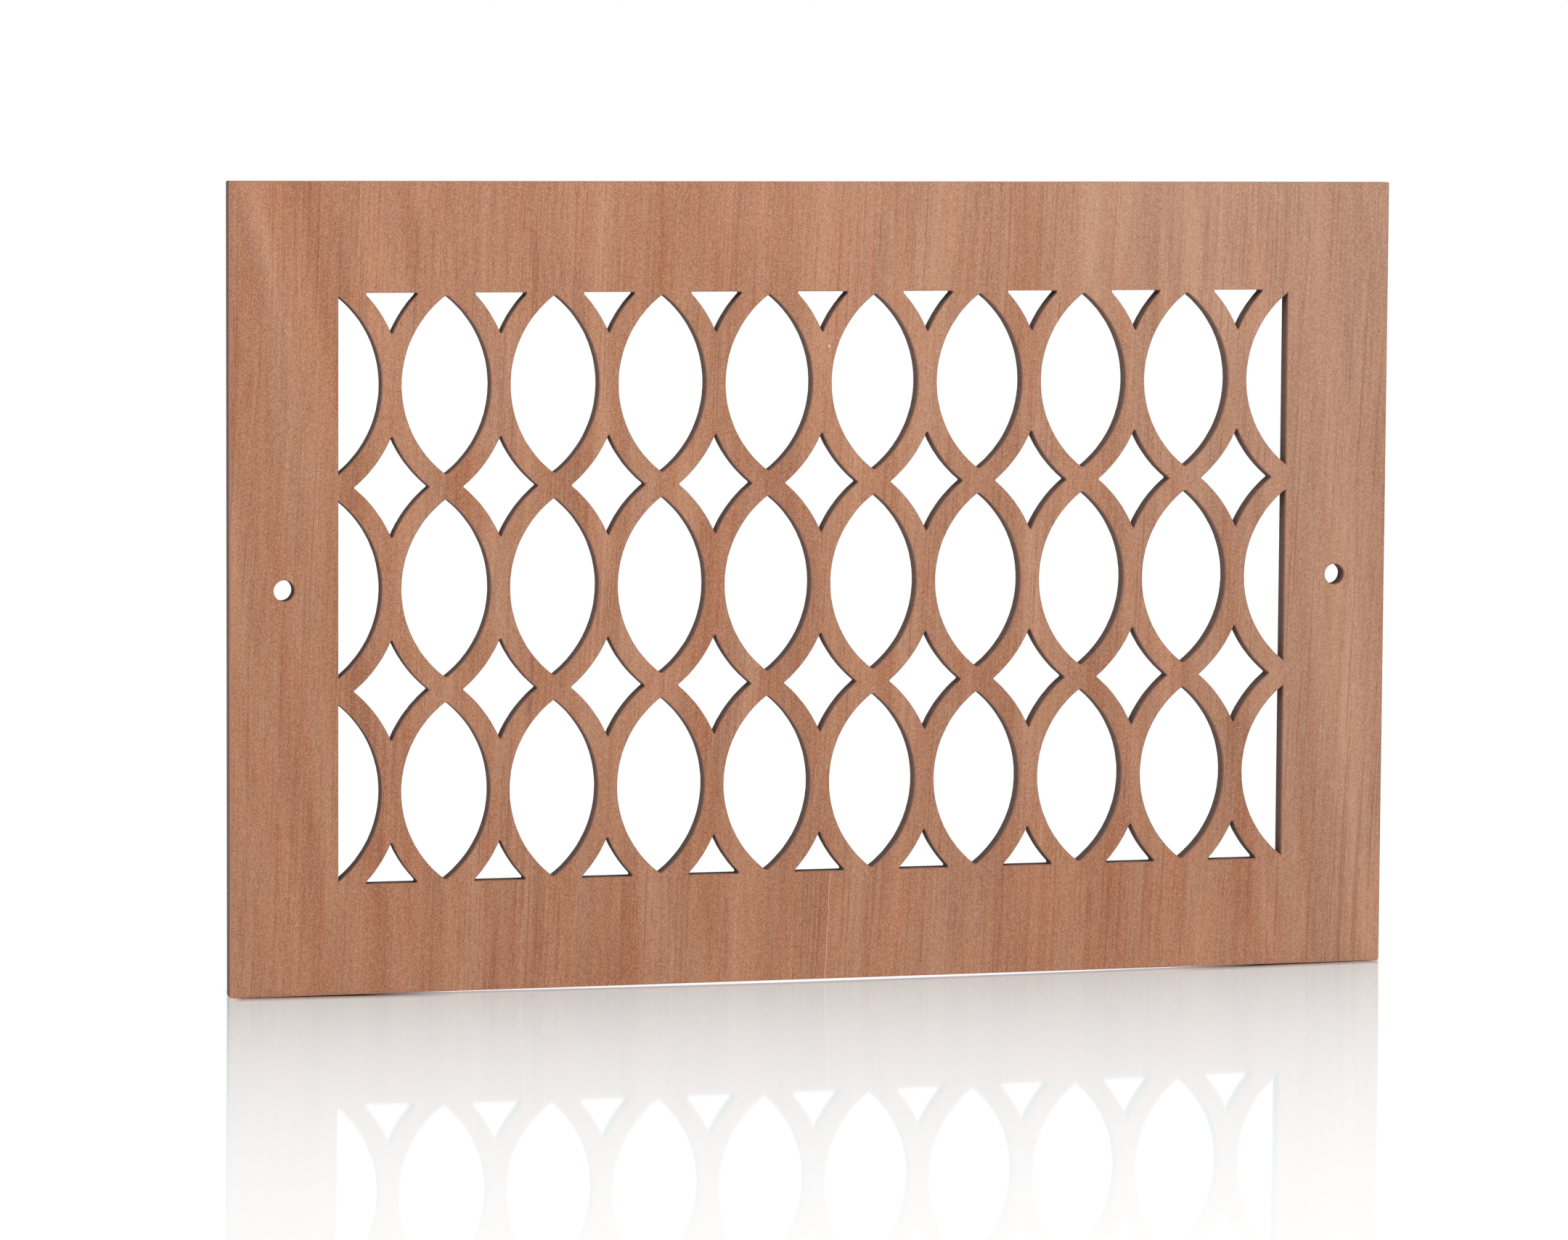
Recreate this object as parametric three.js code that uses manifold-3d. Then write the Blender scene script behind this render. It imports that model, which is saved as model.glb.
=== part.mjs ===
// Wooden vent register: one flat board that covers a duct's mouth, cut right through with rows of pointed
// lenses and small four-sided diamonds, the pattern that overlapping rings of equal bands make.
// Millimetres, +Z up, +X to the right seen from the front. The front face looks along -Y, the back face
// lies in the plane y = 0, and the origin is the middle of the back face.

import * as THREE from "three";
import { mergeVertices } from "three/addons/utils/BufferGeometryUtils.js";
import Module from "manifold-3d";

const wasm = await Module();
wasm.setup();

// Driving dimensions
const BOARD_WIDTH = 304.8;
const BOARD_HEIGHT = 203.2;
const BOARD_THICKNESS = 4.8;
const FIELD_WIDTH = 250;
const LENS_PITCH_X = 27.85;
const LENS_PITCH_Z = 50.9;
const BAND_WIDTH = 4.9;
const LENS_ROWS = 3;
const DIAMOND_COLUMNS = 9;
const SCREW_HOLE_DIAMETER = 5.3;
const CHORD_ERROR = 0.04;
const CUTTER_OVERRUN = 1;

// The middle line of every band is an arc through the corners of a lens cell, LENS_PITCH_X wide and
// LENS_PITCH_Z high. The arc's centre lies ARC_OFFSET beyond the middle of the lens that it bounds.
const ARC_RADIUS = (LENS_PITCH_X ** 2 + LENS_PITCH_Z ** 2) / (4 * LENS_PITCH_X);
const ARC_OFFSET = ARC_RADIUS - LENS_PITCH_X / 2;
const INNER_RADIUS = ARC_RADIUS - BAND_WIDTH / 2;
const OUTER_RADIUS = ARC_RADIUS + BAND_WIDTH / 2;

// The pierced field ends half a band short of the lens cells at top and bottom.
const FIELD_HALF_WIDTH = FIELD_WIDTH / 2;
const FIELD_HALF_HEIGHT = (LENS_ROWS * LENS_PITCH_Z - BAND_WIDTH) / 2;
const SCREW_X = (BOARD_WIDTH / 2 + FIELD_HALF_WIDTH) / 2;

// Places of the lenses and diamonds, spread evenly either side of the middle
const spread = (count, pitch) => Array.from({ length: count }, (_, i) => (i - (count - 1) / 2) * pitch);
const LENS_ROW_Z = spread(LENS_ROWS, LENS_PITCH_Z);
const LENS_COLUMN_X = spread(DIAMOND_COLUMNS - 1, LENS_PITCH_X);
const HALF_LENS_X = (DIAMOND_COLUMNS * LENS_PITCH_X) / 2;
const DIAMOND_ROW_Z = spread(LENS_ROWS - 1, LENS_PITCH_Z);
const DIAMOND_COLUMN_X = spread(DIAMOND_COLUMNS, LENS_PITCH_X);

// Points along an arc from one angle to another, ends included, with chords within CHORD_ERROR of it
function arcPoints(centreX, centreZ, radius, from, to) {
  const step = 2 * Math.acos(1 - CHORD_ERROR / radius);
  const chords = Math.ceil(Math.abs(to - from) / step);
  return Array.from({ length: chords + 1 }, (_, i) => {
    const angle = from + ((to - from) * i) / chords;
    return new THREE.Vector2(centreX + radius * Math.cos(angle), centreZ + radius * Math.sin(angle));
  });
}

// Each stretch begins on the last point of the one before, so that shared point is kept once.
function closedOutline(...stretches) {
  return new THREE.Shape(stretches.flatMap((stretch) => stretch.slice(0, -1)));
}

// A whole lens: the right side turns about a centre to the left of its middle, the left side about one
// to the right.
function lensOutline(x, z) {
  const half = Math.acos(ARC_OFFSET / INNER_RADIUS);
  const right = arcPoints(x - ARC_OFFSET, z, INNER_RADIUS, -half, half);
  const left = arcPoints(x + ARC_OFFSET, z, INNER_RADIUS, Math.PI - half, Math.PI + half);
  return closedOutline(right, left);
}

// The inner half of a lens, cut off straight by the end of the field. side is 1 at the right end, -1 at
// the left.
function halfLensOutline(side, z) {
  const centreX = HALF_LENS_X + ARC_OFFSET;
  const half = Math.acos((centreX - FIELD_HALF_WIDTH) / INNER_RADIUS);
  const arc = arcPoints(centreX, z, INNER_RADIUS, Math.PI - half, Math.PI + half);
  const points = arc.map((point) => new THREE.Vector2(side * point.x, point.y));
  return new THREE.Shape(points);
}

// A diamond: its four sides turn about centres ARC_RADIUS to the left and right of its middle, level with
// the lens rows above and below, and so bend inwards.
function diamondOutline(x, z) {
  const rise = LENS_PITCH_Z / 2;
  const atTip = Math.acos(ARC_RADIUS / OUTER_RADIUS);
  const atSide = Math.asin(rise / OUTER_RADIUS);
  const lowerLeft = arcPoints(x - ARC_RADIUS, z - rise, OUTER_RADIUS, atSide, atTip);
  const lowerRight = arcPoints(x + ARC_RADIUS, z - rise, OUTER_RADIUS, Math.PI - atTip, Math.PI - atSide);
  const upperRight = arcPoints(x + ARC_RADIUS, z + rise, OUTER_RADIUS, Math.PI + atSide, Math.PI + atTip);
  const upperLeft = arcPoints(x - ARC_RADIUS, z + rise, OUTER_RADIUS, -atTip, -atSide);
  return closedOutline(lowerLeft, lowerRight, upperRight, upperLeft);
}

// The inner half of a diamond, cut off straight by the field's top or bottom. side is 1 at the top, -1 at
// the bottom.
function triangleOutline(x, side) {
  const rowZ = LENS_ROW_Z[LENS_ROWS - 1];
  const atTip = Math.acos(ARC_RADIUS / OUTER_RADIUS);
  const atEdge = Math.asin((FIELD_HALF_HEIGHT - rowZ) / OUTER_RADIUS);
  const left = arcPoints(x - ARC_RADIUS, rowZ, OUTER_RADIUS, atEdge, atTip);
  const right = arcPoints(x + ARC_RADIUS, rowZ, OUTER_RADIUS, Math.PI - atTip, Math.PI - atEdge);
  const points = [...left, ...right.slice(1)].map((point) => new THREE.Vector2(point.x, side * point.y));
  return new THREE.Shape(points);
}

function screwHoleOutline(side) {
  return closedOutline(arcPoints(side * SCREW_X, 0, SCREW_HOLE_DIAMETER / 2, 0, 2 * Math.PI));
}

function openingOutlines() {
  const outlines = [];
  for (const z of LENS_ROW_Z) {
    for (const x of LENS_COLUMN_X) outlines.push(lensOutline(x, z));
    for (const side of [-1, 1]) outlines.push(halfLensOutline(side, z));
  }
  for (const x of DIAMOND_COLUMN_X) {
    for (const z of DIAMOND_ROW_Z) outlines.push(diamondOutline(x, z));
    for (const side of [-1, 1]) outlines.push(triangleOutline(x, side));
  }
  for (const side of [-1, 1]) outlines.push(screwHoleOutline(side));
  return outlines;
}

function boardOutline() {
  const x = BOARD_WIDTH / 2;
  const z = BOARD_HEIGHT / 2;
  const corners = [[-x, -z], [x, -z], [x, z], [-x, z]];
  return new THREE.Shape(corners.map((corner) => new THREE.Vector2(...corner)));
}

// A prism on an outline that is drawn flat, standing from one height to another
function prism(outline, from, to) {
  const geometry = new THREE.ExtrudeGeometry(outline, { depth: to - from, bevelEnabled: false });
  geometry.translate(0, 0, from);
  geometry.deleteAttribute("normal");
  geometry.deleteAttribute("uv");
  const merged = mergeVertices(geometry);
  const vertProperties = merged.getAttribute("position").array;
  const triVerts = new Uint32Array(merged.index.array);
  return new wasm.Manifold(new wasm.Mesh({ numProp: 3, vertProperties, triVerts }));
}

function pierced(board, outlines) {
  const from = -CUTTER_OVERRUN;
  const to = BOARD_THICKNESS + CUTTER_OVERRUN;
  const cut = outlines.reduce((solid, outline) => solid.subtract(prism(outline, from, to)), board);
  const { vertProperties, triVerts } = cut.getMesh();
  const geometry = new THREE.BufferGeometry();
  geometry.setAttribute("position", new THREE.BufferAttribute(vertProperties, 3));
  geometry.setIndex(new THREE.BufferAttribute(triVerts, 1));
  geometry.computeVertexNormals();
  return geometry;
}

// The board is drawn flat, then turned upright, which brings its thickness forward from the back face.
function grillePanel() {
  const board = prism(boardOutline(), 0, BOARD_THICKNESS);
  const wood = new THREE.MeshStandardMaterial({ color: 0xb98a70, roughness: 0.72, flatShading: true });
  const panel = new THREE.Mesh(pierced(board, openingOutlines()), wood);
  panel.name = "grille_panel";
  panel.rotation.x = Math.PI / 2;
  return panel;
}

const register = new THREE.Group();
register.add(grillePanel());

export default register;
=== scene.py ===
"""A wooden vent register: one veneered board, laser cut right through with lenses and diamonds."""
import logging
import math
from collections.abc import Callable, Iterable, Iterator
from contextlib import contextmanager
from dataclasses import dataclass, field
from enum import Enum

import bmesh
import bpy
from mathutils import Matrix, Vector


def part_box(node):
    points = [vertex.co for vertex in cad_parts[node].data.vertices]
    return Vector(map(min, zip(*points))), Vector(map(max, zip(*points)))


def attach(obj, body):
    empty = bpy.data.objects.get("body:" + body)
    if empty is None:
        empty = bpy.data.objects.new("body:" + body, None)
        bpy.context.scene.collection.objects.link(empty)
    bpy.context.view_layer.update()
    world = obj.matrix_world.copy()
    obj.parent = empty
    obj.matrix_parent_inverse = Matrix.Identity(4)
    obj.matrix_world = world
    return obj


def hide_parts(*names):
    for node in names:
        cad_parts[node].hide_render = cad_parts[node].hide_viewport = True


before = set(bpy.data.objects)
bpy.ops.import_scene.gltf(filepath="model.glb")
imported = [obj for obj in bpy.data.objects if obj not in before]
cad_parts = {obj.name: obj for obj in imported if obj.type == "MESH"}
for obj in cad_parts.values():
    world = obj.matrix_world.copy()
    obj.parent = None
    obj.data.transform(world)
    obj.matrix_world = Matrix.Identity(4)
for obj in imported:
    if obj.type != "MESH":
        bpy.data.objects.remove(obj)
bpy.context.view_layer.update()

log = logging.getLogger("vent_register")

MM = 0.001
PANEL_NODE = "grille_panel"
TO_MILLIMETRES = (1000, 1000, 1000)
# A face belongs to the front or the back if its normal lies this far along Y, and else to a cut.
FLAT_NORMAL = 0.9


class Cut(Enum):
    """How one solid acts on another."""

    TAKE_AWAY = "DIFFERENCE"
    KEEP_COMMON = "INTERSECT"


class Element(Enum):
    """The part of a mesh that is picked in edit mode: its select mode, and where a BMesh keeps it."""

    EDGE = "edges"
    FACE = "faces"


class Face(Enum):
    """The board's two flat faces, by the sign of their outward normal along Y."""

    FRONT = -1
    BACK = 1


class Dressing(Enum):
    """The board's finishes, by their place among its materials."""

    VENEER = 0
    SCORCHED = 1
    TORN = 2


def linear(hex_colour: str) -> tuple[float, float, float, float]:
    """Turns an sRGB hex colour to linear light.

    Args:
        hex_colour: six hex digits after a #.

    Returns:
        Linear red, green and blue, and an alpha of 1.
    """
    channels = [int(hex_colour[i : i + 2], 16) / 255 for i in (1, 3, 5)]
    bright = [c / 12.92 if c <= 0.04045 else ((c + 0.055) / 1.055) ** 2.4 for c in channels]
    return (*bright, 1.0)


def add_node(
    tree: bpy.types.NodeTree, kind: str, settings: dict[str, object] | None = None, **inputs: object
) -> bpy.types.Node:
    """Adds one shader node.

    Args:
        tree: the node tree that it joins.
        kind: the node's type name without the leading ShaderNode.
        settings: the node's own properties, by name.
        inputs: its sockets, by name with _ for a space, or by in and a number. An output socket is linked
            to it, and any other value is set on it.

    Returns:
        The new node.
    """
    node = tree.nodes.new(f"ShaderNode{kind}")
    for name, value in (settings or {}).items():
        setattr(node, name, value)
    for name, value in inputs.items():
        numbered = name.startswith("in") and name[2:].isdigit()
        socket = node.inputs[int(name[2:]) if numbered else name.replace("_", " ")]
        if isinstance(value, bpy.types.NodeSocket):
            tree.links.new(value, socket)
        else:
            socket.default_value = value
    return node


def new_material(name: str) -> bpy.types.Material:
    """Makes an empty node material.

    Args:
        name: what the finish is.

    Returns:
        The material, whose tree holds only its output.
    """
    material = bpy.data.materials.new(name)
    material.use_nodes = True
    material.node_tree.nodes.clear()
    return material


def only(piece: bpy.types.Object) -> None:
    """Selects one object alone and makes it the active one.

    Args:
        piece: the object.
    """
    bpy.ops.object.select_all(action="DESELECT")
    piece.select_set(True)
    bpy.context.view_layer.objects.active = piece


@contextmanager
def editing(piece: bpy.types.Object, element: Element = Element.FACE) -> Iterator[None]:
    """Opens one object in edit mode with nothing selected, and leaves edit mode at the end.

    Args:
        piece: the object.
        element: what is picked in it.
    """
    only(piece)
    bpy.ops.object.mode_set(mode="EDIT")
    bpy.ops.mesh.select_mode(type=element.name)
    bpy.ops.mesh.select_all(action="DESELECT")
    yield
    bpy.ops.object.mode_set(mode="OBJECT")


def pick(
    piece: bpy.types.Object,
    element: Element,
    wanted: Callable[[bmesh.types.BMEdge | bmesh.types.BMFace], bool],
) -> None:
    """Selects the edges or faces of the mesh in edit mode that a test accepts.

    Args:
        piece: the object in edit mode.
        element: what is picked.
        wanted: the test.
    """
    mesh = bmesh.from_edit_mesh(piece.data)
    for part in getattr(mesh, element.value):
        if wanted(part):
            part.select_set(True)
    bmesh.update_edit_mesh(piece.data)


def settled(piece: bpy.types.Object) -> bpy.types.Object:
    """Moves an object's place, turn and size into its mesh.

    Args:
        piece: the object.

    Returns:
        The same object, at the origin.
    """
    only(piece)
    bpy.ops.object.transform_apply(location=True, rotation=True, scale=True)
    return piece


def block(size: Vector, centre: Vector) -> bpy.types.Object:
    """Adds a box.

    Args:
        size: its three sides, in metres.
        centre: its middle.

    Returns:
        The new object.
    """
    bpy.ops.mesh.primitive_cube_add(size=1, location=centre, scale=size)
    return settled(bpy.context.object)


def cylinder(radius: float, length: float, centre: Vector, step: float) -> bpy.types.Object:
    """Adds a cylinder whose axis runs through the board, along Y.

    Args:
        radius: its radius, in metres.
        length: its length.
        centre: its middle.
        step: the longest side that its round may have.

    Returns:
        The new object.
    """
    sides = 4 * math.ceil(math.tau * radius / step / 4)
    bpy.ops.mesh.primitive_cylinder_add(
        vertices=sides, radius=radius, depth=length, location=centre, rotation=(math.pi / 2, 0, 0)
    )
    return settled(bpy.context.object)


def carve(piece: bpy.types.Object, tool: bpy.types.Object, cut: Cut) -> None:
    """Cuts an object with another one, which is used up.

    Args:
        piece: the object that is cut.
        tool: the object that cuts it.
        cut: which part of the piece stays.
    """
    only(piece)
    modifier = piece.modifiers.new("carve", "BOOLEAN")
    modifier.operation = cut.value
    modifier.solver = "EXACT"
    modifier.material_mode = "TRANSFER"
    modifier.object = tool
    bpy.ops.object.modifier_apply(modifier=modifier.name)
    bpy.data.objects.remove(tool)


def copied(piece: bpy.types.Object, offset: Vector) -> bpy.types.Object:
    """Copies an object with a mesh of its own.

    Args:
        piece: the object to copy.
        offset: how far the copy's mesh is moved.

    Returns:
        The copy.
    """
    copy = piece.copy()
    copy.data = piece.data.copy()
    copy.data.transform(Matrix.Translation(offset))
    bpy.context.collection.objects.link(copy)
    return copy


def joined(pieces: Iterable[bpy.types.Object]) -> bpy.types.Object:
    """Joins objects into the first one.

    Args:
        pieces: the objects.

    Returns:
        The first object, which holds all the meshes.
    """
    first, *rest = pieces
    only(first)
    for piece in rest:
        piece.select_set(True)
    bpy.ops.object.join()
    return first


def spread(count: int, pitch: float) -> list[float]:
    """Places at an even pitch, either side of zero.

    Args:
        count: how many.
        pitch: the distance between neighbours.

    Returns:
        The places, lowest first.
    """
    return [(i - (count - 1) / 2) * pitch for i in range(count)]


@dataclass(frozen=True)
class RingPattern:
    """The pattern that overlapping rings of equal bands leave: pointed lenses and four-sided diamonds."""

    pitch_x: float = 27.85 * MM
    pitch_z: float = 50.9 * MM
    band: float = 4.9 * MM
    rows: int = 3
    columns: int = 9
    field_width: float = 250 * MM

    @property
    def field_height(self) -> float:
        """Height of the pierced field, which ends half a band short of the lens cells."""
        return self.rows * self.pitch_z - self.band

    @property
    def ring_radius(self) -> float:
        """Radius of a band's middle line, which passes through the corners of a lens cell."""
        return (self.pitch_x**2 + self.pitch_z**2) / (4 * self.pitch_x)

    @property
    def lens_offset(self) -> float:
        """How far the centre of a lens's side lies beyond the lens's middle."""
        return self.ring_radius - self.pitch_x / 2

    @property
    def lens_places(self) -> list[Vector]:
        """Middles of all lenses, with the ones that the field's ends halve."""
        columns = spread(self.columns + 1, self.pitch_x)
        return [Vector((x, 0, z)) for z in spread(self.rows, self.pitch_z) for x in columns]

    @property
    def diamond_places(self) -> list[Vector]:
        """Middles of all diamonds, with the ones that the field's top and bottom halve."""
        columns = spread(self.columns, self.pitch_x)
        return [Vector((x, 0, z)) for z in spread(self.rows + 1, self.pitch_z) for x in columns]


@dataclass
class OpeningCutters:
    """The solids that the beam takes out of the board."""

    pattern: RingPattern
    length: float
    middle_y: float
    screw_x: float
    screw_diameter: float = 5.3 * MM
    kerf_radius: float = 0.3 * MM
    step: float = 0.8 * MM

    def blunted(self, half_angle: float) -> float:
        """How much shorter the beam's width leaves a point, by half the angle between its sides."""
        return self.kerf_radius * (1 / math.sin(half_angle) - 1)

    def lens(self) -> bpy.types.Object:
        """Makes a lens at the middle, as what two discs have in common, with its points blunted.

        Returns:
            The lens's cutter.
        """
        radius = self.pattern.ring_radius - self.pattern.band / 2
        half_angle = math.asin(self.pattern.lens_offset / radius)
        reach = radius * math.cos(half_angle) - self.blunted(half_angle)
        left, right = [
            cylinder(radius, self.length, Vector((x, self.middle_y, 0)), self.step)
            for x in (-self.pattern.lens_offset, self.pattern.lens_offset)
        ]
        carve(left, right, Cut.KEEP_COMMON)
        size = Vector((self.pattern.pitch_x, self.length / 2, 2 * reach))
        carve(left, block(size, Vector((0, self.middle_y, 0))), Cut.KEEP_COMMON)
        return left

    def diamond(self, level: float) -> bpy.types.Object:
        """Makes a diamond at the middle, as what four discs leave of a block that blunts its points.

        Args:
            level: how far from its middle it is widest, 0 for a whole one.

        Returns:
            The diamond's cutter.
        """
        radius = self.pattern.ring_radius + self.pattern.band / 2
        rise = self.pattern.pitch_z / 2
        tip = math.acos(self.pattern.ring_radius / radius)
        reach_z = rise - radius * math.sin(tip) - self.blunted(tip)
        side = math.acos((rise - level) / radius)
        # Two curved sides meet at a whole diamond's side points. At a halved one's, a curved side meets the
        # straight end of the field, at half that angle.
        blunting = self.blunted(side if level == 0 else side / 2)
        reach_x = self.pattern.ring_radius - radius * math.sin(side) - blunting
        size = Vector((2 * reach_x, self.length / 2, 2 * reach_z))
        diamond = block(size, Vector((0, self.middle_y, 0)))
        for x in (-self.pattern.ring_radius, self.pattern.ring_radius):
            for z in spread(2, self.pattern.pitch_z):
                disc = cylinder(radius, 2 * self.length, Vector((x, self.middle_y, z)), self.step)
                carve(diamond, disc, Cut.TAKE_AWAY)
        return diamond

    def screw_holes(self) -> list[bpy.types.Object]:
        """Makes the cutters of the two plain screw holes.

        Returns:
            The left one and the right one.
        """
        return [
            cylinder(self.screw_diameter / 2, self.length, Vector((x, self.middle_y, 0)), self.step / 2)
            for x in (-self.screw_x, self.screw_x)
        ]

    def build(self) -> bpy.types.Object:
        """Makes every cutter and joins them.

        Returns:
            One object with a closed shell for each opening.
        """
        outer_z = self.pattern.rows * self.pattern.pitch_z / 2
        lens, whole, halved = self.lens(), self.diamond(0), self.diamond(self.pattern.band / 2)
        repeated = [copied(lens, place) for place in self.pattern.lens_places]
        for place in self.pattern.diamond_places:
            repeated.append(copied(halved if abs(place.z) > outer_z - MM else whole, place))
        for model in (lens, whole, halved):
            bpy.data.objects.remove(model)
        cutters = joined(repeated)
        size = Vector((self.pattern.field_width, self.length / 2, self.pattern.field_height))
        carve(cutters, block(size, Vector((0, self.middle_y, 0))), Cut.KEEP_COMMON)
        return joined([cutters, *self.screw_holes()])


@dataclass(frozen=True)
class Streaks:
    """One layer of the wood's figure: noise drawn out along the grain, by the size of its marks."""

    across: float
    along: float
    depth: float = 2.0
    detail: float = 2.0
    roughness: float = 0.5

    def draw(self, tree: bpy.types.NodeTree, grain: bpy.types.NodeSocket) -> bpy.types.NodeSocket:
        """Adds the layer to a material.

        Args:
            tree: the material's node tree.
            grain: coordinates in millimetres that follow the grain.

        Returns:
            The layer's value, 0 to 1 and mostly near a half.
        """
        scale = (1 / self.across, 1 / self.depth, 1 / self.along)
        place = add_node(tree, "Mapping", Vector=grain, Scale=scale)
        noise = add_node(
            tree,
            "TexNoise",
            Vector=place.outputs[0],
            Scale=1.0,
            Detail=self.detail,
            Roughness=self.roughness,
        )
        return noise.outputs[0]


Layers = tuple[tuple[Streaks, float], ...]


def centred(middle: float, layers: Layers) -> float:
    """Works out where a sum of layers starts, so that its middle falls on a given value.

    Args:
        middle: the value.
        layers: the streaks, and how far each one moves the sum from end to end.

    Returns:
        The value before the layers.
    """
    return middle - sum(share for _, share in layers) / 2


@dataclass(frozen=True)
class VeneerFinish:
    """Unvarnished reddish veneer with fine upright grain, a little scorched beside every cut.

    Each layer of its figure comes with how far it moves a value from end to end. Lengths of the figure are
    in millimetres.
    """

    name: str = "reddish_veneer"
    olive: str = "#7B5641"
    tan: str = "#81563B"
    red: str = "#875337"
    # Colour of the painted sheen that pales the face towards the upper right.
    painted_sheen_colour: str = "#8A7868"
    sheen: str = "#827464"
    pore: str = "#5A2A1C"
    scorched: str = "#5E463A"
    roughness: float = 0.6
    specular: float = 0.45
    relief: float = 0.25
    relief_depth: float = 0.02 * MM
    lean: float = -0.04
    stray: Streaks = Streaks(45, 70, detail=1)
    figure_bow: float = 8e-6
    figure_wander: float = 9.0
    fibre_bow: float = 0.0
    fibre_wander: float = 2.0
    patches: Layers = (
        (Streaks(9, 90, detail=4, roughness=0.75), 0.8),
        (Streaks(0.7, 14), 0.5),
    )
    olive_end: float = 0.2
    tan_at: float = 0.5
    red_end: float = 0.8
    # Painted sheen: its direction, the distances in millimetres over which it grows, and its greatest
    # share.
    painted_sheen_way: tuple[float, float, float] = (1.0, 0.0, 0.6)
    painted_sheen_from: float = 30.0
    painted_sheen_to: float = 200.0
    painted_sheen_most: float = 0.26
    # From broad bands down to single fibres and specks. The finest specks are drawn 0.16 mm across, coarser
    # than they are, because anything less would be lost at the size the part is seen.
    bands: Layers = (
        (Streaks(13, 150), 0.5),
        (Streaks(5.5, 70), 0.34),
        (Streaks(2.4, 30), 0.07),
    )
    fibres: Layers = (
        (Streaks(1.2, 20), 0.08),
        (Streaks(0.45, 30, detail=1), 0.26),
        (Streaks(0.3, 8, detail=1), 0.18),
        (Streaks(0.16, 0.24, detail=0), 1.0),
    )
    pores: Layers = (
        (Streaks(0.35, 3, detail=0), 0.5),
        (Streaks(0.35, 60, detail=0), 1.3),
        (Streaks(16, 50), 0.5),
    )
    pore_from: float = 0.68
    pore_to: float = 0.88
    pore_share: float = 0.36
    halo_share: float = 0.3

    def grain(self, tree: bpy.types.NodeTree, bow: float, wander: float) -> bpy.types.NodeSocket:
        """Makes coordinates in millimetres that lean and wander as the grain does.

        Args:
            tree: the material's node tree.
            bow: how much more the grain leans towards the ends, a square millimetre.
            wander: how far it strays from its line, in millimetres.

        Returns:
            The coordinates: across the grain, through the board, along the grain.
        """
        position = add_node(tree, "TexCoord").outputs["Object"]
        flat = add_node(tree, "Mapping", Vector=position, Scale=TO_MILLIMETRES).outputs[0]
        across, through, along = add_node(tree, "SeparateXYZ", Vector=flat).outputs
        square = add_node(tree, "Math", {"operation": "MULTIPLY"}, in0=across, in1=across).outputs[0]
        lean = add_node(
            tree, "Math", {"operation": "MULTIPLY_ADD"}, in0=square, in1=bow, in2=self.lean
        ).outputs[0]
        stray = self.stray.draw(tree, flat)
        shift = add_node(
            tree, "Math", {"operation": "MULTIPLY_ADD"}, in0=stray, in1=wander, in2=across
        ).outputs[0]
        bent = add_node(
            tree, "Math", {"operation": "MULTIPLY_ADD"}, in0=along, in1=lean, in2=shift
        ).outputs[0]
        return add_node(tree, "CombineXYZ", X=bent, Y=through, Z=along).outputs[0]

    def summed(
        self,
        tree: bpy.types.NodeTree,
        grain: bpy.types.NodeSocket,
        start: bpy.types.NodeSocket | float,
        layers: Layers,
    ) -> bpy.types.NodeSocket:
        """Adds layers of streaks to a value, each times its share.

        Args:
            tree: the material's node tree.
            grain: the grain's coordinates.
            start: the value before the layers.
            layers: the streaks, and how far each one moves the value from end to end.

        Returns:
            The sum.
        """
        total = start
        for layer, share in layers:
            drawn = layer.draw(tree, grain)
            total = add_node(
                tree, "Math", {"operation": "MULTIPLY_ADD"}, in0=drawn, in1=share, in2=total
            ).outputs[0]
        return total

    def hue(self, tree: bpy.types.NodeTree, grain: bpy.types.NodeSocket) -> bpy.types.NodeSocket:
        """Makes the colour before light and dark: patches of red and olive, and a painted sheen that makes
        it paler to the upper right.

        Args:
            tree: the material's node tree.
            grain: the grain's coordinates.

        Returns:
            The colour.
        """
        patch = self.summed(tree, grain, centred(self.tan_at, self.patches), self.patches)
        ramp = add_node(tree, "ValToRGB", Fac=patch)
        stops = ramp.color_ramp.elements
        stops[0].position, stops[0].color = self.olive_end, linear(self.olive)
        stops[1].position, stops[1].color = self.red_end, linear(self.red)
        middle = stops.new(self.tan_at)
        middle.color = linear(self.tan)
        # Painted sheen: the colour is mixed more and more towards a pale grey-brown towards the upper
        # right.
        slant = add_node(
            tree, "VectorMath", {"operation": "DOT_PRODUCT"}, in0=grain, in1=self.painted_sheen_way
        ).outputs["Value"]
        painted_sheen = add_node(
            tree,
            "MapRange",
            Value=slant,
            From_Min=self.painted_sheen_from,
            From_Max=self.painted_sheen_to,
            To_Max=self.painted_sheen_most,
        ).outputs[0]
        return add_node(
            tree,
            "Mix",
            {"data_type": "RGBA"},
            in0=painted_sheen,
            in6=ramp.outputs["Color"],
            in7=linear(self.painted_sheen_colour),
        ).outputs[2]

    def material(self) -> bpy.types.Material:
        """Makes the finish.

        Returns:
            The material. It reads the board's clear_of_cut attribute.
        """
        # Bare wood is dull: light spreads over it softly, and its fibres break up what shine it has.
        material = new_material(self.name)
        tree = material.node_tree
        figure = self.grain(tree, self.figure_bow, self.figure_wander)
        fibre = self.grain(tree, self.fibre_bow, self.fibre_wander)
        banded = self.summed(tree, figure, centred(0.0, self.bands + self.fibres), self.bands)
        light = self.summed(tree, fibre, banded, self.fibres)
        # Pale fibres also shine, so the grain's light and dark are greyer than the wood.
        toned = add_node(
            tree,
            "VectorMath",
            {"operation": "MULTIPLY_ADD"},
            in0=light,
            in1=linear(self.sheen)[:3],
            in2=self.hue(tree, figure),
        ).outputs[0]
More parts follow.
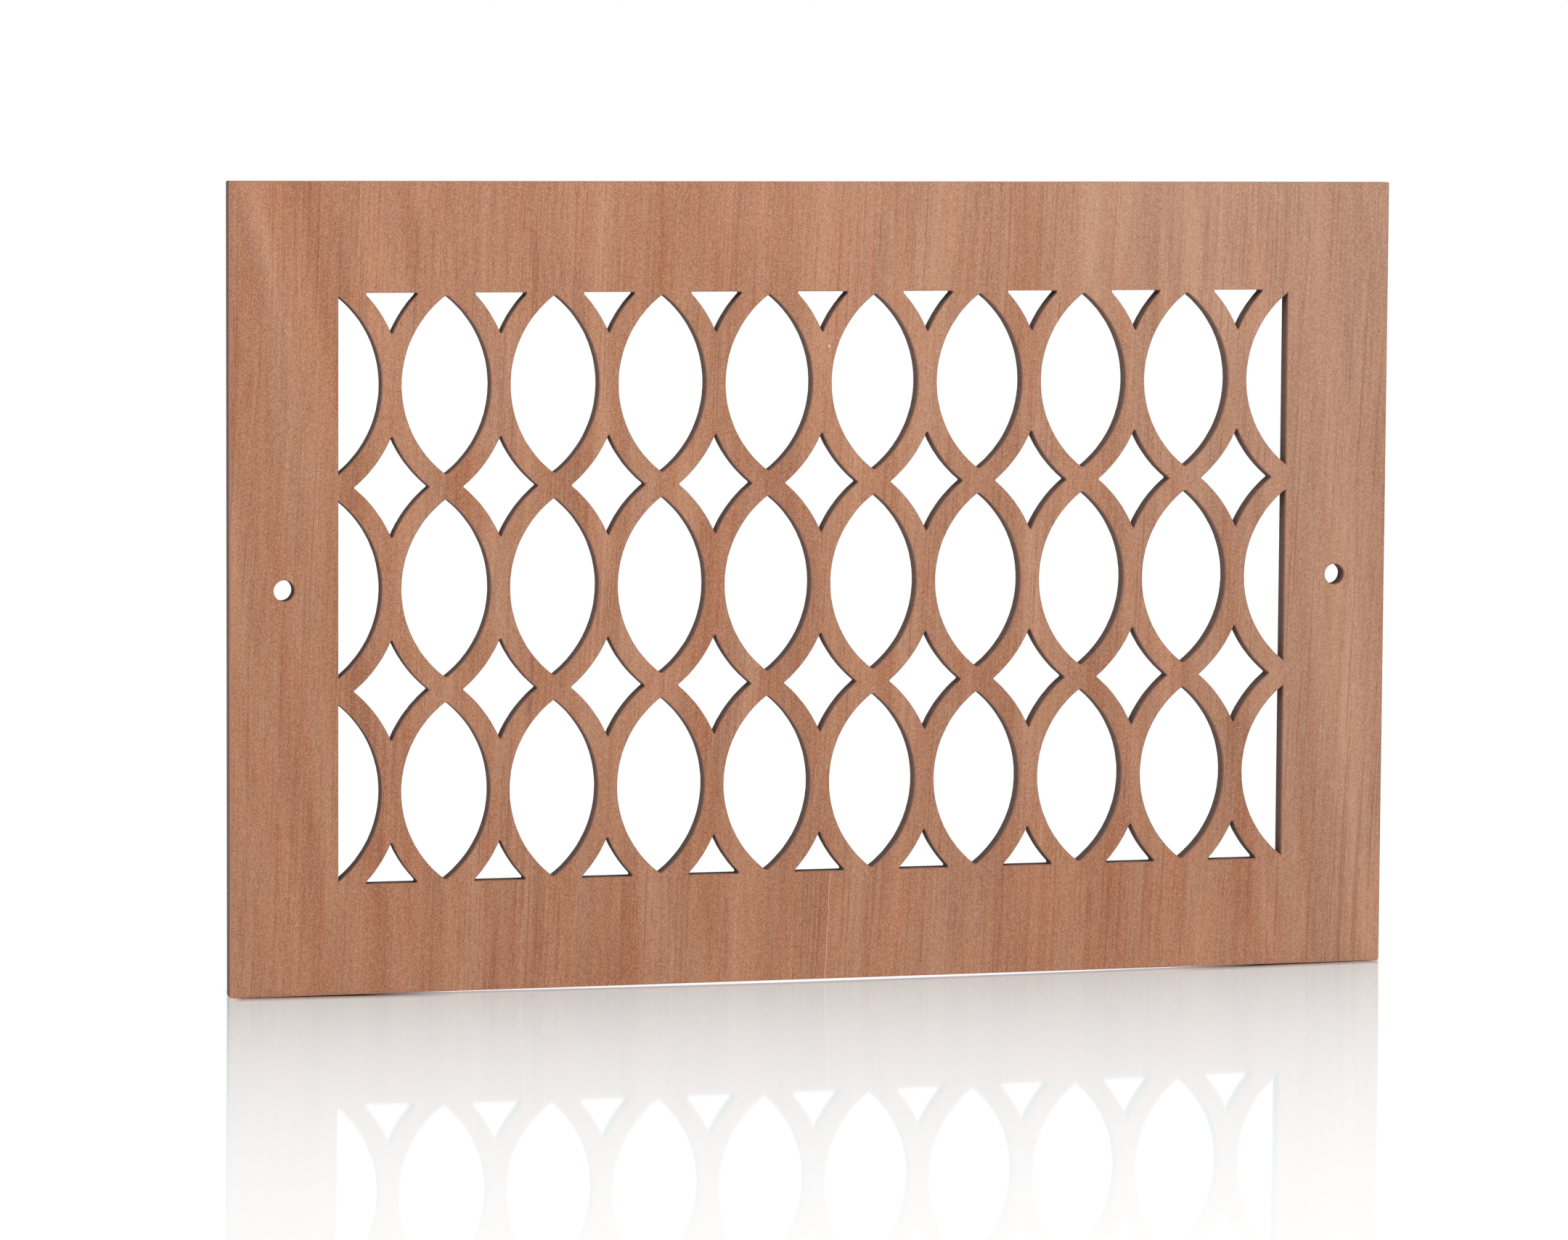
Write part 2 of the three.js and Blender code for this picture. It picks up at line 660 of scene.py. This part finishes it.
        # Open pores show as thin dark dashes, in rows that come and go across the board.
        dashes = add_node(
            tree,
            "MapRange",
            {"interpolation_type": "SMOOTHSTEP"},
            Value=self.summed(tree, fibre, centred(0.5, self.pores), self.pores),
            From_Min=self.pore_from,
            From_Max=self.pore_to,
            To_Max=self.pore_share,
        ).outputs[0]
        pored = add_node(
            tree, "Mix", {"data_type": "RGBA"}, in0=dashes, in6=toned, in7=linear(self.pore)
        ).outputs[2]
        # The beam left a brown halo a quarter of a millimetre wide beside every cut.
        clear = add_node(tree, "Attribute", {"attribute_name": "clear_of_cut"}).outputs[2]
        halo = add_node(
            tree,
            "MapRange",
            {"interpolation_type": "SMOOTHSTEP"},
            Value=clear,
            To_Min=self.halo_share,
            To_Max=0.0,
        ).outputs[0]
        colour = add_node(
            tree, "Mix", {"data_type": "RGBA"}, in0=halo, in6=pored, in7=linear(self.scorched)
        ).outputs[2]
        bump = add_node(tree, "Bump", Strength=self.relief, Distance=self.relief_depth, Height=light)
        shader = add_node(
            tree,
            "BsdfPrincipled",
            Base_Color=colour,
            Roughness=self.roughness,
            Specular_IOR_Level=self.specular,
            Normal=bump.outputs[0],
        )
        add_node(tree, "OutputMaterial", Surface=shader.outputs[0])
        return material


@dataclass(frozen=True)
class ScorchedFinish:
    """A wall that a beam has cut: charred brown, streaked through the board, warmer in the front veneer.

    Lengths are in millimetres. outer_edge is how far from the middle the board's outer edges begin, and
    front_end, core_at and back_from are parts of the way through the board.
    """

    name: str = "scorched_cut"
    front: str = "#8A6555"
    core: str = "#5F4D47"
    back: str = "#554842"
    roughness: float = 0.9
    specular: float = 0.0
    relief: float = 0.4
    relief_depth: float = 0.05 * MM
    front_face: float = -4.8
    back_face: float = 0.0
    front_end: float = 0.02
    core_at: float = 0.34
    back_from: float = 0.95
    outer_edge: tuple[float, float, float] = (151.4, 100.0, 100.6)
    opening_light: float = 0.55
    outer_light: float = 0.88
    streaks: Streaks = Streaks(0.6, 0.6, depth=5)
    streak_share: float = 0.5
    speckle: Streaks = Streaks(0.5, 0.5, depth=0.5)
    speckle_share: float = 0.4
    # Painted shade: how much darker sides that face up are and lighter ones that face down, and the tilt at
    # which that is full.
    painted_shade: float = 0.3
    painted_shade_tilt: float = 0.8

    def material(self) -> bpy.types.Material:
        """Makes the finish.

        Returns:
            The material.
        """
        # Char swallows light: it has no shine, only fine streaks that the beam drew through the board.
        material = new_material(self.name)
        tree = material.node_tree
        position = add_node(tree, "TexCoord").outputs["Object"]
        flat = add_node(tree, "Mapping", Vector=position, Scale=TO_MILLIMETRES).outputs[0]
        through = add_node(tree, "SeparateXYZ", Vector=flat).outputs["Y"]
        level = add_node(
            tree, "MapRange", Value=through, From_Min=self.front_face, From_Max=self.back_face
        ).outputs[0]
        # The board's outer edges are paler than the walls of the openings.
        far = add_node(tree, "VectorMath", {"operation": "ABSOLUTE"}, in0=flat).outputs[0]
        beyond = add_node(
            tree, "VectorMath", {"operation": "SUBTRACT"}, in0=far, in1=self.outer_edge
        ).outputs[0]
        over_x, _, over_z = add_node(tree, "SeparateXYZ", Vector=beyond).outputs
        outer = add_node(tree, "Math", {"operation": "MAXIMUM"}, in0=over_x, in1=over_z).outputs[0]
        edge_lightness = add_node(
            tree, "MapRange", Value=outer, To_Min=self.opening_light, To_Max=self.outer_light
        ).outputs[0]
        tone = add_node(tree, "ValToRGB", Fac=level)
        stops = tone.color_ramp.elements
        stops[0].position, stops[0].color = self.front_end, linear(self.front)
        stops[1].position, stops[1].color = self.back_from, linear(self.back)
        veneer_end = stops.new(self.core_at)
        veneer_end.color = linear(self.core)
        streaked = add_node(
            tree,
            "Math",
            {"operation": "MULTIPLY_ADD"},
            in0=self.streaks.draw(tree, flat),
            in1=self.streak_share,
            in2=edge_lightness,
        ).outputs[0]
        light = add_node(
            tree,
            "Math",
            {"operation": "MULTIPLY_ADD"},
            in0=self.speckle.draw(tree, flat),
            in1=self.speckle_share,
            in2=streaked,
        ).outputs[0]
        # Painted shade: sides that face up are darker than ones that face down.
        normal = add_node(tree, "NewGeometry").outputs["Normal"]
        painted_shade_factor = add_node(
            tree,
            "MapRange",
            Value=add_node(tree, "SeparateXYZ", Vector=normal).outputs["Z"],
            From_Min=-self.painted_shade_tilt,
            From_Max=self.painted_shade_tilt,
            To_Min=1 + self.painted_shade,
            To_Max=1 - self.painted_shade,
        ).outputs[0]
        painted_shaded_light = add_node(tree, "Math", {"operation": "MULTIPLY"}, in0=light, in1=painted_shade_factor).outputs[0]
        colour = add_node(
            tree, "VectorMath", {"operation": "SCALE"}, Vector=tone.outputs["Color"], Scale=painted_shaded_light
        ).outputs[0]
        bump = add_node(tree, "Bump", Strength=self.relief, Distance=self.relief_depth, Height=light)
        shader = add_node(
            tree,
            "BsdfPrincipled",
            Base_Color=colour,
            Roughness=self.roughness,
            Specular_IOR_Level=self.specular,
            Normal=bump.outputs[0],
        )
        add_node(tree, "OutputMaterial", Surface=shader.outputs[0])
        return material


@dataclass(frozen=True)
class TornFibreFinish:
    """Pale raw fibres in the sides of a split."""

    name: str = "torn_fibre"
    colour: str = "#D6BBA6"
    roughness: float = 0.9

    def material(self) -> bpy.types.Material:
        """Makes the finish.

        Returns:
            The material.
        """
        # Freshly torn wood is pale and matt, so a split shows as a light thread in the brown face.
        material = new_material(self.name)
        tree = material.node_tree
        shader = add_node(
            tree, "BsdfPrincipled", Base_Color=linear(self.colour), Roughness=self.roughness
        )
        add_node(tree, "OutputMaterial", Surface=shader.outputs[0])
        return material


@dataclass
class Split:
    """A hairline split in the veneer that runs up from the lower edge to the nearest opening."""

    front_y: float
    width: float = 0.14 * MM
    deep: float = 0.2 * MM
    path: tuple[tuple[float, float], ...] = (
        (2.99, -73.4),
        (2.96, -74.3),
        (2.53, -78.9),
        (2.48, -82.6),
        (2.65, -84.7),
        (2.24, -87.8),
        (1.95, -93.0),
        (1.90, -96.4),
        (1.72, -98.6),
        (1.70, -102.2),
    )

    def cutter(self) -> bpy.types.Object:
        """Makes the split's solid, a thin wedge drawn along the path.

        Returns:
            The cutter, with its point in the board and its base in front of it.
        """
        x, z = self.path[0]
        bpy.ops.mesh.primitive_circle_add(
            vertices=3, radius=1, fill_type="NGON", location=(x * MM, self.front_y, z * MM)
        )
        wedge = settled(bpy.context.object)
        # The base stands as far in front of the face as the point goes in, so the face cuts the wedge
        # where it is half as wide as its base.
        corners = ((0, self.deep), (-self.width, -self.deep), (self.width, -self.deep))
        for vertex, (across, inward) in zip(wedge.data.vertices, corners):
            vertex.co = (x * MM + across, self.front_y + inward, z * MM)
        with editing(wedge):
            bpy.ops.mesh.select_all(action="SELECT")
            for (x0, z0), (x1, z1) in zip(self.path, self.path[1:]):
                step = ((x1 - x0) * MM, 0, (z1 - z0) * MM)
                bpy.ops.mesh.extrude_region_move(TRANSFORM_OT_translate={"value": step})
            bpy.ops.mesh.select_all(action="SELECT")
            bpy.ops.mesh.normals_make_consistent(inside=False)
        return wedge


@dataclass
class RegisterBoard:
    """The whole register: a board with soft arrises, pierced by the pattern and two screw holes."""

    low: Vector
    high: Vector
    pattern: RingPattern = field(default_factory=RingPattern)
    arris: float = 0.12 * MM
    corner_radius: float = 0.4 * MM
    halo_width: float = 0.25 * MM
    overrun: float = 5.0
    corner_segments: int = 4
    raggedness: float = 0.1 * MM
    ragged_step: float = 1.3 * MM
    ragged_straightness: float = 1000.0
    pattern_shift: float = 0.5
    smooth_up_to: float = math.radians(30)
    chip_width: float = 0.25 * MM
    chip_depth: float = 0.1 * MM
    chip_path: tuple[tuple[float, float], ...] = ((1.62, 60.4), (1.8, 59.7))

    @property
    def middle(self) -> Vector:
        """Middle of the board."""
        return (self.low + self.high) / 2

    def blank(self) -> bpy.types.Object:
        """Makes the board before it is cut, thinner by its two arrises, with eased outer corners.

        Returns:
            The board.
        """
        size = self.high - self.low
        size.y -= 2 * self.arris
        board = block(size, self.middle)
        with editing(board, Element.EDGE):
            pick(
                board,
                Element.EDGE,
                lambda edge: abs(edge.verts[0].co.y - edge.verts[1].co.y) > size.y / 2,
            )
            bpy.ops.mesh.bevel(offset=self.corner_radius, segments=self.corner_segments)
        return board

    def ragged(self, cutters: bpy.types.Object) -> None:
        """Makes the cutters' sides wander a few hundredths of a millimetre, as a beam does.

        Args:
            cutters: the cutters. They keep straight along Y, through the board.
        """
        stretch = bpy.data.objects.new("stretch", None)
        bpy.context.collection.objects.link(stretch)
        stretch.scale = (1, self.ragged_straightness, 1)
        bpy.context.view_layer.update()
        only(cutters)
        # Each direction reads the clouds at another place, so that the two don't wander together.
        for seed, direction in enumerate("XZ"):
            clouds = bpy.data.textures.new(f"beam_wander_{direction}", "CLOUDS")
            clouds.noise_scale = self.ragged_step
            stretch.location = (self.pattern_shift * seed, 0, 0)
            bpy.context.view_layer.update()
            modifier = cutters.modifiers.new("wander", "DISPLACE")
            modifier.texture = clouds
            modifier.texture_coords = "OBJECT"
            modifier.texture_coords_object = stretch
            modifier.direction = direction
            modifier.mid_level = 0.5
            modifier.strength = self.raggedness
            bpy.ops.object.modifier_apply(modifier=modifier.name)
            bpy.data.textures.remove(clouds)
        bpy.data.objects.remove(stretch)

    def ease_edges(self, board: bpy.types.Object) -> None:
        """Raises both faces on their arrises, and draws a ring round each edge for the scorch to fade.

        Args:
            board: the pierced board.
        """
        for side in Face:
            with editing(board):
                pick(board, Element.FACE, lambda face: face.normal.y * side.value > FLAT_NORMAL)
                bpy.ops.mesh.inset(thickness=self.arris, depth=self.arris, use_even_offset=True)
                bpy.ops.mesh.inset(thickness=self.halo_width, depth=0, use_even_offset=True)

    def dress(self, board: bpy.types.Object) -> None:
        """Gives the faces the veneer and everything else the scorched finish.

        Args:
            board: the pierced board.
        """
        board.data.materials.clear()
        for finish in (VeneerFinish(), ScorchedFinish(), TornFibreFinish()):
            board.data.materials.append(finish.material())
        for face in board.data.polygons:
            flat = abs(face.normal.y) > FLAT_NORMAL
            face.material_index = (Dressing.VENEER if flat else Dressing.SCORCHED).value

    def split(self, board: bpy.types.Object) -> None:
        """Cuts the hairline split and a small chip, with their pale sides.

        Args:
            board: the dressed board.
        """
        chip = Split(self.low.y, self.chip_width, self.chip_depth, self.chip_path)
        for flaw in (Split(self.low.y), chip):
            wedge = flaw.cutter()
            wedge.data.materials.append(board.data.materials[Dressing.TORN.value])
            carve(board, wedge, Cut.TAKE_AWAY)

    def mark_clearance(self, board: bpy.types.Object) -> None:
        """Stores in clear_of_cut 0 on every scorched edge and 1 beyond the ring round it.

        Args:
            board: the dressed board.
        """
        mesh = board.data
        scorched = [face for face in mesh.polygons if face.material_index == Dressing.SCORCHED.value]
        at_cut = {index for face in scorched for index in face.vertices}
        clear = mesh.attributes.new("clear_of_cut", "FLOAT", "POINT")
        clear.data.foreach_set("value", [0.0 if i in at_cut else 1.0 for i in range(len(mesh.vertices))])

    def build(self) -> bpy.types.Object:
        """Builds and dresses the board.

        Returns:
            The finished piece, which stands in for the frame's panel.
        """
        thickness = self.high.y - self.low.y
        screw_x = (self.high.x + self.pattern.field_width / 2) / 2
        length = self.overrun * thickness
        cutters = OpeningCutters(self.pattern, length, self.middle.y, screw_x).build()
        self.ragged(cutters)
        board = self.blank()
        carve(board, cutters, Cut.TAKE_AWAY)
        self.ease_edges(board)
        self.dress(board)
        self.split(board)
        self.mark_clearance(board)
        only(board)
        bpy.ops.object.shade_smooth_by_angle(angle=self.smooth_up_to)
        board.name = board.data.name = "register_board"
        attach(board, "root")
        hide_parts(PANEL_NODE)
        return board


@dataclass(frozen=True)
class SoftBox:
    """A large white light that faces the board, seen in the floor's mirror or not."""

    name: str
    place: tuple[float, float, float]
    width: float
    height: float
    power: float
    mirrored: bool = True

    def build(self) -> None:
        """Hangs the light. It lights the scene without being seen itself."""
        data = bpy.data.lights.new(self.name, "AREA")
        data.shape = "RECTANGLE"
        data.size = self.width
        data.size_y = self.height
        data.energy = self.power
        light = bpy.data.objects.new(self.name, data)
        bpy.context.collection.objects.link(light)
        light.location = self.place
        light.rotation_euler = (-light.location).to_track_quat("-Z", "Y").to_euler()
        light.visible_camera = False
        light.visible_glossy = self.mirrored


@dataclass
class Studio:
    """A pale lit sheet under soft white light, seen as in the photograph."""

    board_bottom: float
    front_y: float
    hollow: float = 0.64 * MM
    hollow_reach: float = 154 * MM
    hollow_strips: int = 16
    floor_size: float = 60.0
    surround: float = 1.0
    glow: float = 0.92
    mirror_roughness: float = 0.04
    mirror_fade: float = 0.21
    mirror_share: tuple[float, float, float] = (0.59, 0.59, 0.59)
    ahead_share: tuple[float, float, float] = (0.685, 0.575, 0.56)
    ahead_from: float = -8 * MM
    ahead_to: float = -12 * MM
    # Painted contact shadow under the board's two corners: how far ahead it is full and where it ends, and
    # where it lies to the sides.
    shade_full: float = 5 * MM
    shade_end: float = 11 * MM
    foot_inner: tuple[float, float] = (95 * MM, 118 * MM)
    foot_outer: tuple[float, float] = (149 * MM, 152 * MM)
    yaw: float = 0.273584
    pitch: float = 0.0856192
    roll: float = 0.0060419
    distance: float = 1.645884
    lens: float = 148.881
    sensor: float = 36.0
    view_end: float = 200.0
    aim: tuple[float, float, float] = (-9.777 * MM, -4.8 * MM, -9.433 * MM)
    lights: tuple[SoftBox, ...] = (
        SoftBox("right_box", (0.9, -1.0, 0.35), 0.7, 0.7, 4.9),
        SoftBox("top_box", (0.0, -0.32, 0.36), 1.1, 0.3, 3.9),
        SoftBox("back_box", (0.9, 1.2, 0.3), 0.8, 0.8, 9.0, mirrored=False),
    )

    def camera(self) -> None:
        """Puts the camera at the photograph's angle, to the object's left and a little above it."""
        back = Vector(
            (
                -math.sin(self.yaw) * math.cos(self.pitch),
                -math.cos(self.yaw) * math.cos(self.pitch),
                math.sin(self.pitch),
            )
        )
        level = Vector((math.cos(self.yaw), -math.sin(self.yaw), 0))
        turn = Matrix((level, back.cross(level), back)).transposed()
        data = bpy.data.cameras.new("camera")
        data.lens = self.lens
        data.sensor_width = self.sensor
        data.clip_end = self.view_end
        camera = bpy.data.objects.new("camera", data)
        bpy.context.collection.objects.link(camera)
        placed = turn @ Matrix.Rotation(self.roll, 3, "Z")
        camera.matrix_world = Matrix.Translation(Vector(self.aim) + back * self.distance) @ placed.to_4x4()
        bpy.context.scene.camera = camera

    def floor_finish(self) -> bpy.types.Material:
        """Makes the floor's finish: a white sheet lit from below, with a faint mirror that fades forward
        and a painted contact shadow close under the board's two corners.

        Returns:
            The material. In front of the board the mirror takes most of its share from the red, so the
            wood's image in it is grey.
        """
        # The sheet is lit evenly from below, so it is as white as what stands round it, and its satin face
        # mirrors the board faintly and ever less towards the viewer.
        material = new_material("lit_white_sheet")
        tree = material.node_tree
        position = add_node(tree, "TexCoord").outputs["Object"]
        across, ahead, _ = add_node(tree, "SeparateXYZ", Vector=position).outputs
        away = add_node(tree, "Math", {"operation": "ABSOLUTE"}, in0=ahead).outputs[0]
        lengths = add_node(
            tree, "Math", {"operation": "DIVIDE"}, in0=away, in1=-self.mirror_fade
        ).outputs[0]
        fade = add_node(tree, "Math", {"operation": "EXPONENT"}, in0=lengths).outputs[0]
        tint = add_node(
            tree,
            "Mix",
            {"data_type": "RGBA"},
            in0=add_node(
                tree, "MapRange", Value=ahead, From_Min=self.ahead_from, From_Max=self.ahead_to
            ).outputs[0],
            in6=(*self.mirror_share, 1.0),
            in7=(*self.ahead_share, 1.0),
        ).outputs[2]
        share = add_node(tree, "VectorMath", {"operation": "SCALE"}, in0=tint, Scale=fade).outputs[0]
        rest = add_node(
            tree, "VectorMath", {"operation": "SUBTRACT"}, in0=(1.0, 1.0, 1.0), in1=share
        ).outputs[0]
        mirror = add_node(tree, "BsdfGlossy", Color=share, Roughness=self.mirror_roughness)
        # Painted contact shadow: the sheet's glow is taken out close under the two corners that the board
        # stands on.
        side = add_node(tree, "Math", {"operation": "ABSOLUTE"}, in0=across).outputs[0]
        clear = add_node(
            tree, "MapRange", Value=away, From_Min=self.shade_full, From_Max=self.shade_end
        ).outputs[0]
        inside = add_node(
            tree,
            "MapRange",
            Value=side,
            From_Min=self.foot_inner[0],
            From_Max=self.foot_inner[1],
            To_Min=1.0,
            To_Max=0.0,
        ).outputs[0]
        beyond = add_node(
            tree, "MapRange", Value=side, From_Min=self.foot_outer[0], From_Max=self.foot_outer[1]
        ).outputs[0]
        off_foot = add_node(tree, "Math", {"operation": "MAXIMUM"}, in0=inside, in1=beyond).outputs[0]
        lit = add_node(tree, "Math", {"operation": "MAXIMUM"}, in0=off_foot, in1=clear).outputs[0]
        shine = add_node(tree, "VectorMath", {"operation": "SCALE"}, in0=rest, Scale=lit).outputs[0]
        glow = add_node(tree, "Emission", Color=shine, Strength=self.glow)
        dim = add_node(
            tree, "VectorMath", {"operation": "SCALE"}, in0=rest, Scale=1 - self.glow
        ).outputs[0]
        white = add_node(tree, "BsdfDiffuse", Color=dim)
        sheet = add_node(tree, "AddShader", in0=glow.outputs[0], in1=white.outputs[0])
        whole = add_node(tree, "AddShader", in0=sheet.outputs[0], in1=mirror.outputs[0])
        add_node(tree, "OutputMaterial", Surface=whole.outputs[0])
        return material

    def floor(self) -> None:
        """Lays the floor under the board, with a slight hollow that the board bridges."""
        bpy.ops.object.select_all(action="DESELECT")
        bpy.ops.mesh.primitive_plane_add(size=self.floor_size, location=(0, 0, self.board_bottom))
        floor = settled(bpy.context.object)
        with editing(floor):
            for x in spread(self.hollow_strips + 1, 2 * self.hollow_reach / self.hollow_strips):
                bpy.ops.mesh.select_all(action="SELECT")
                bpy.ops.mesh.bisect(plane_co=(x, 0, 0), plane_no=(1, 0, 0))
        for vertex in floor.data.vertices:
            vertex.co.z -= self.hollow * max(0.0, 1 - (vertex.co.x / self.hollow_reach) ** 2)
        bpy.ops.object.shade_smooth()
        floor.name = "floor"
        floor.data.materials.append(self.floor_finish())

    def light(self) -> None:
        """Lights the scene with a white surround and the soft boxes."""
        world = bpy.data.worlds.new("white_surround")
        world.use_nodes = True
        world.node_tree.nodes.clear()
        surround = add_node(world.node_tree, "Background", Color=(1, 1, 1, 1), Strength=self.surround)
        add_node(world.node_tree, "OutputWorld", Surface=surround.outputs[0])
        bpy.context.scene.world = world
        for box in self.lights:
            box.build()

    def build(self) -> None:
        """Sets up camera, floor and light, with colours shown as they are."""
        self.camera()
        self.floor()
        self.light()
        bpy.context.scene.view_settings.view_transform = "Standard"


def main() -> None:
    """Builds the scene."""
    logging.basicConfig(level=logging.INFO, format="%(name)s: %(message)s")
    low, high = [Vector(corner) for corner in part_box(PANEL_NODE)]
    Studio(low.z, low.y).build()
    board = RegisterBoard(low, high).build()
    board.data.calc_loop_triangles()
    log.info("%s: %d triangles", board.name, len(board.data.loop_triangles))


if __name__ == "__main__":
    main()
